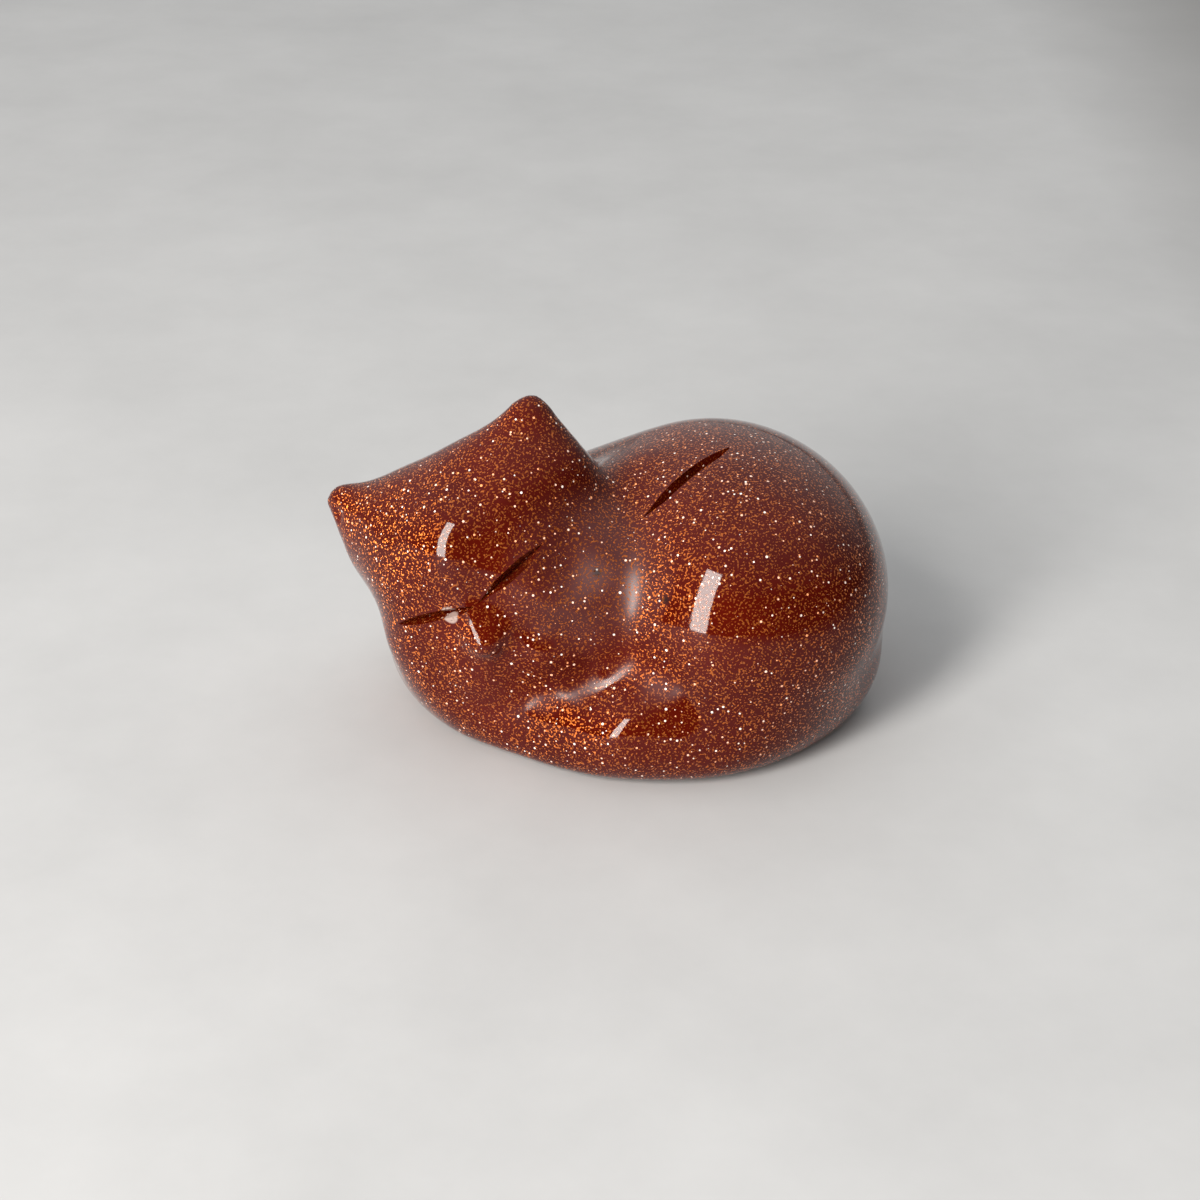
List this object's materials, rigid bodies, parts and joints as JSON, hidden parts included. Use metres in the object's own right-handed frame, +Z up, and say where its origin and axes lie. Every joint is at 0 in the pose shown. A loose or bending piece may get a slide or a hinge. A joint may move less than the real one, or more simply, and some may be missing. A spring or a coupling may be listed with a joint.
{
  "type": "carved cat figurine",
  "caption": "Palm-sized cat curled up asleep with its chin on its tail, carved from one piece of glittering red-brown goldstone glass and polished, with a flat foot.",
  "frame": {"origin": "on the ground, under the middle of the footprint's box", "axes": "+X along the cat's length from its head to its rump, +Y from the side with the face and the tail to the hidden back, +Z up"},
  "size_m": [0.0484, 0.0344, 0.0296],
  "materials": {
    "goldstone": "red-brown aventurine glass full of copper flakes, opaque at this thickness, cut and polished bright"
  },
  "bodies": {
    "root": {"carved_cat": "goldstone"}
  },
  "joints": []
}
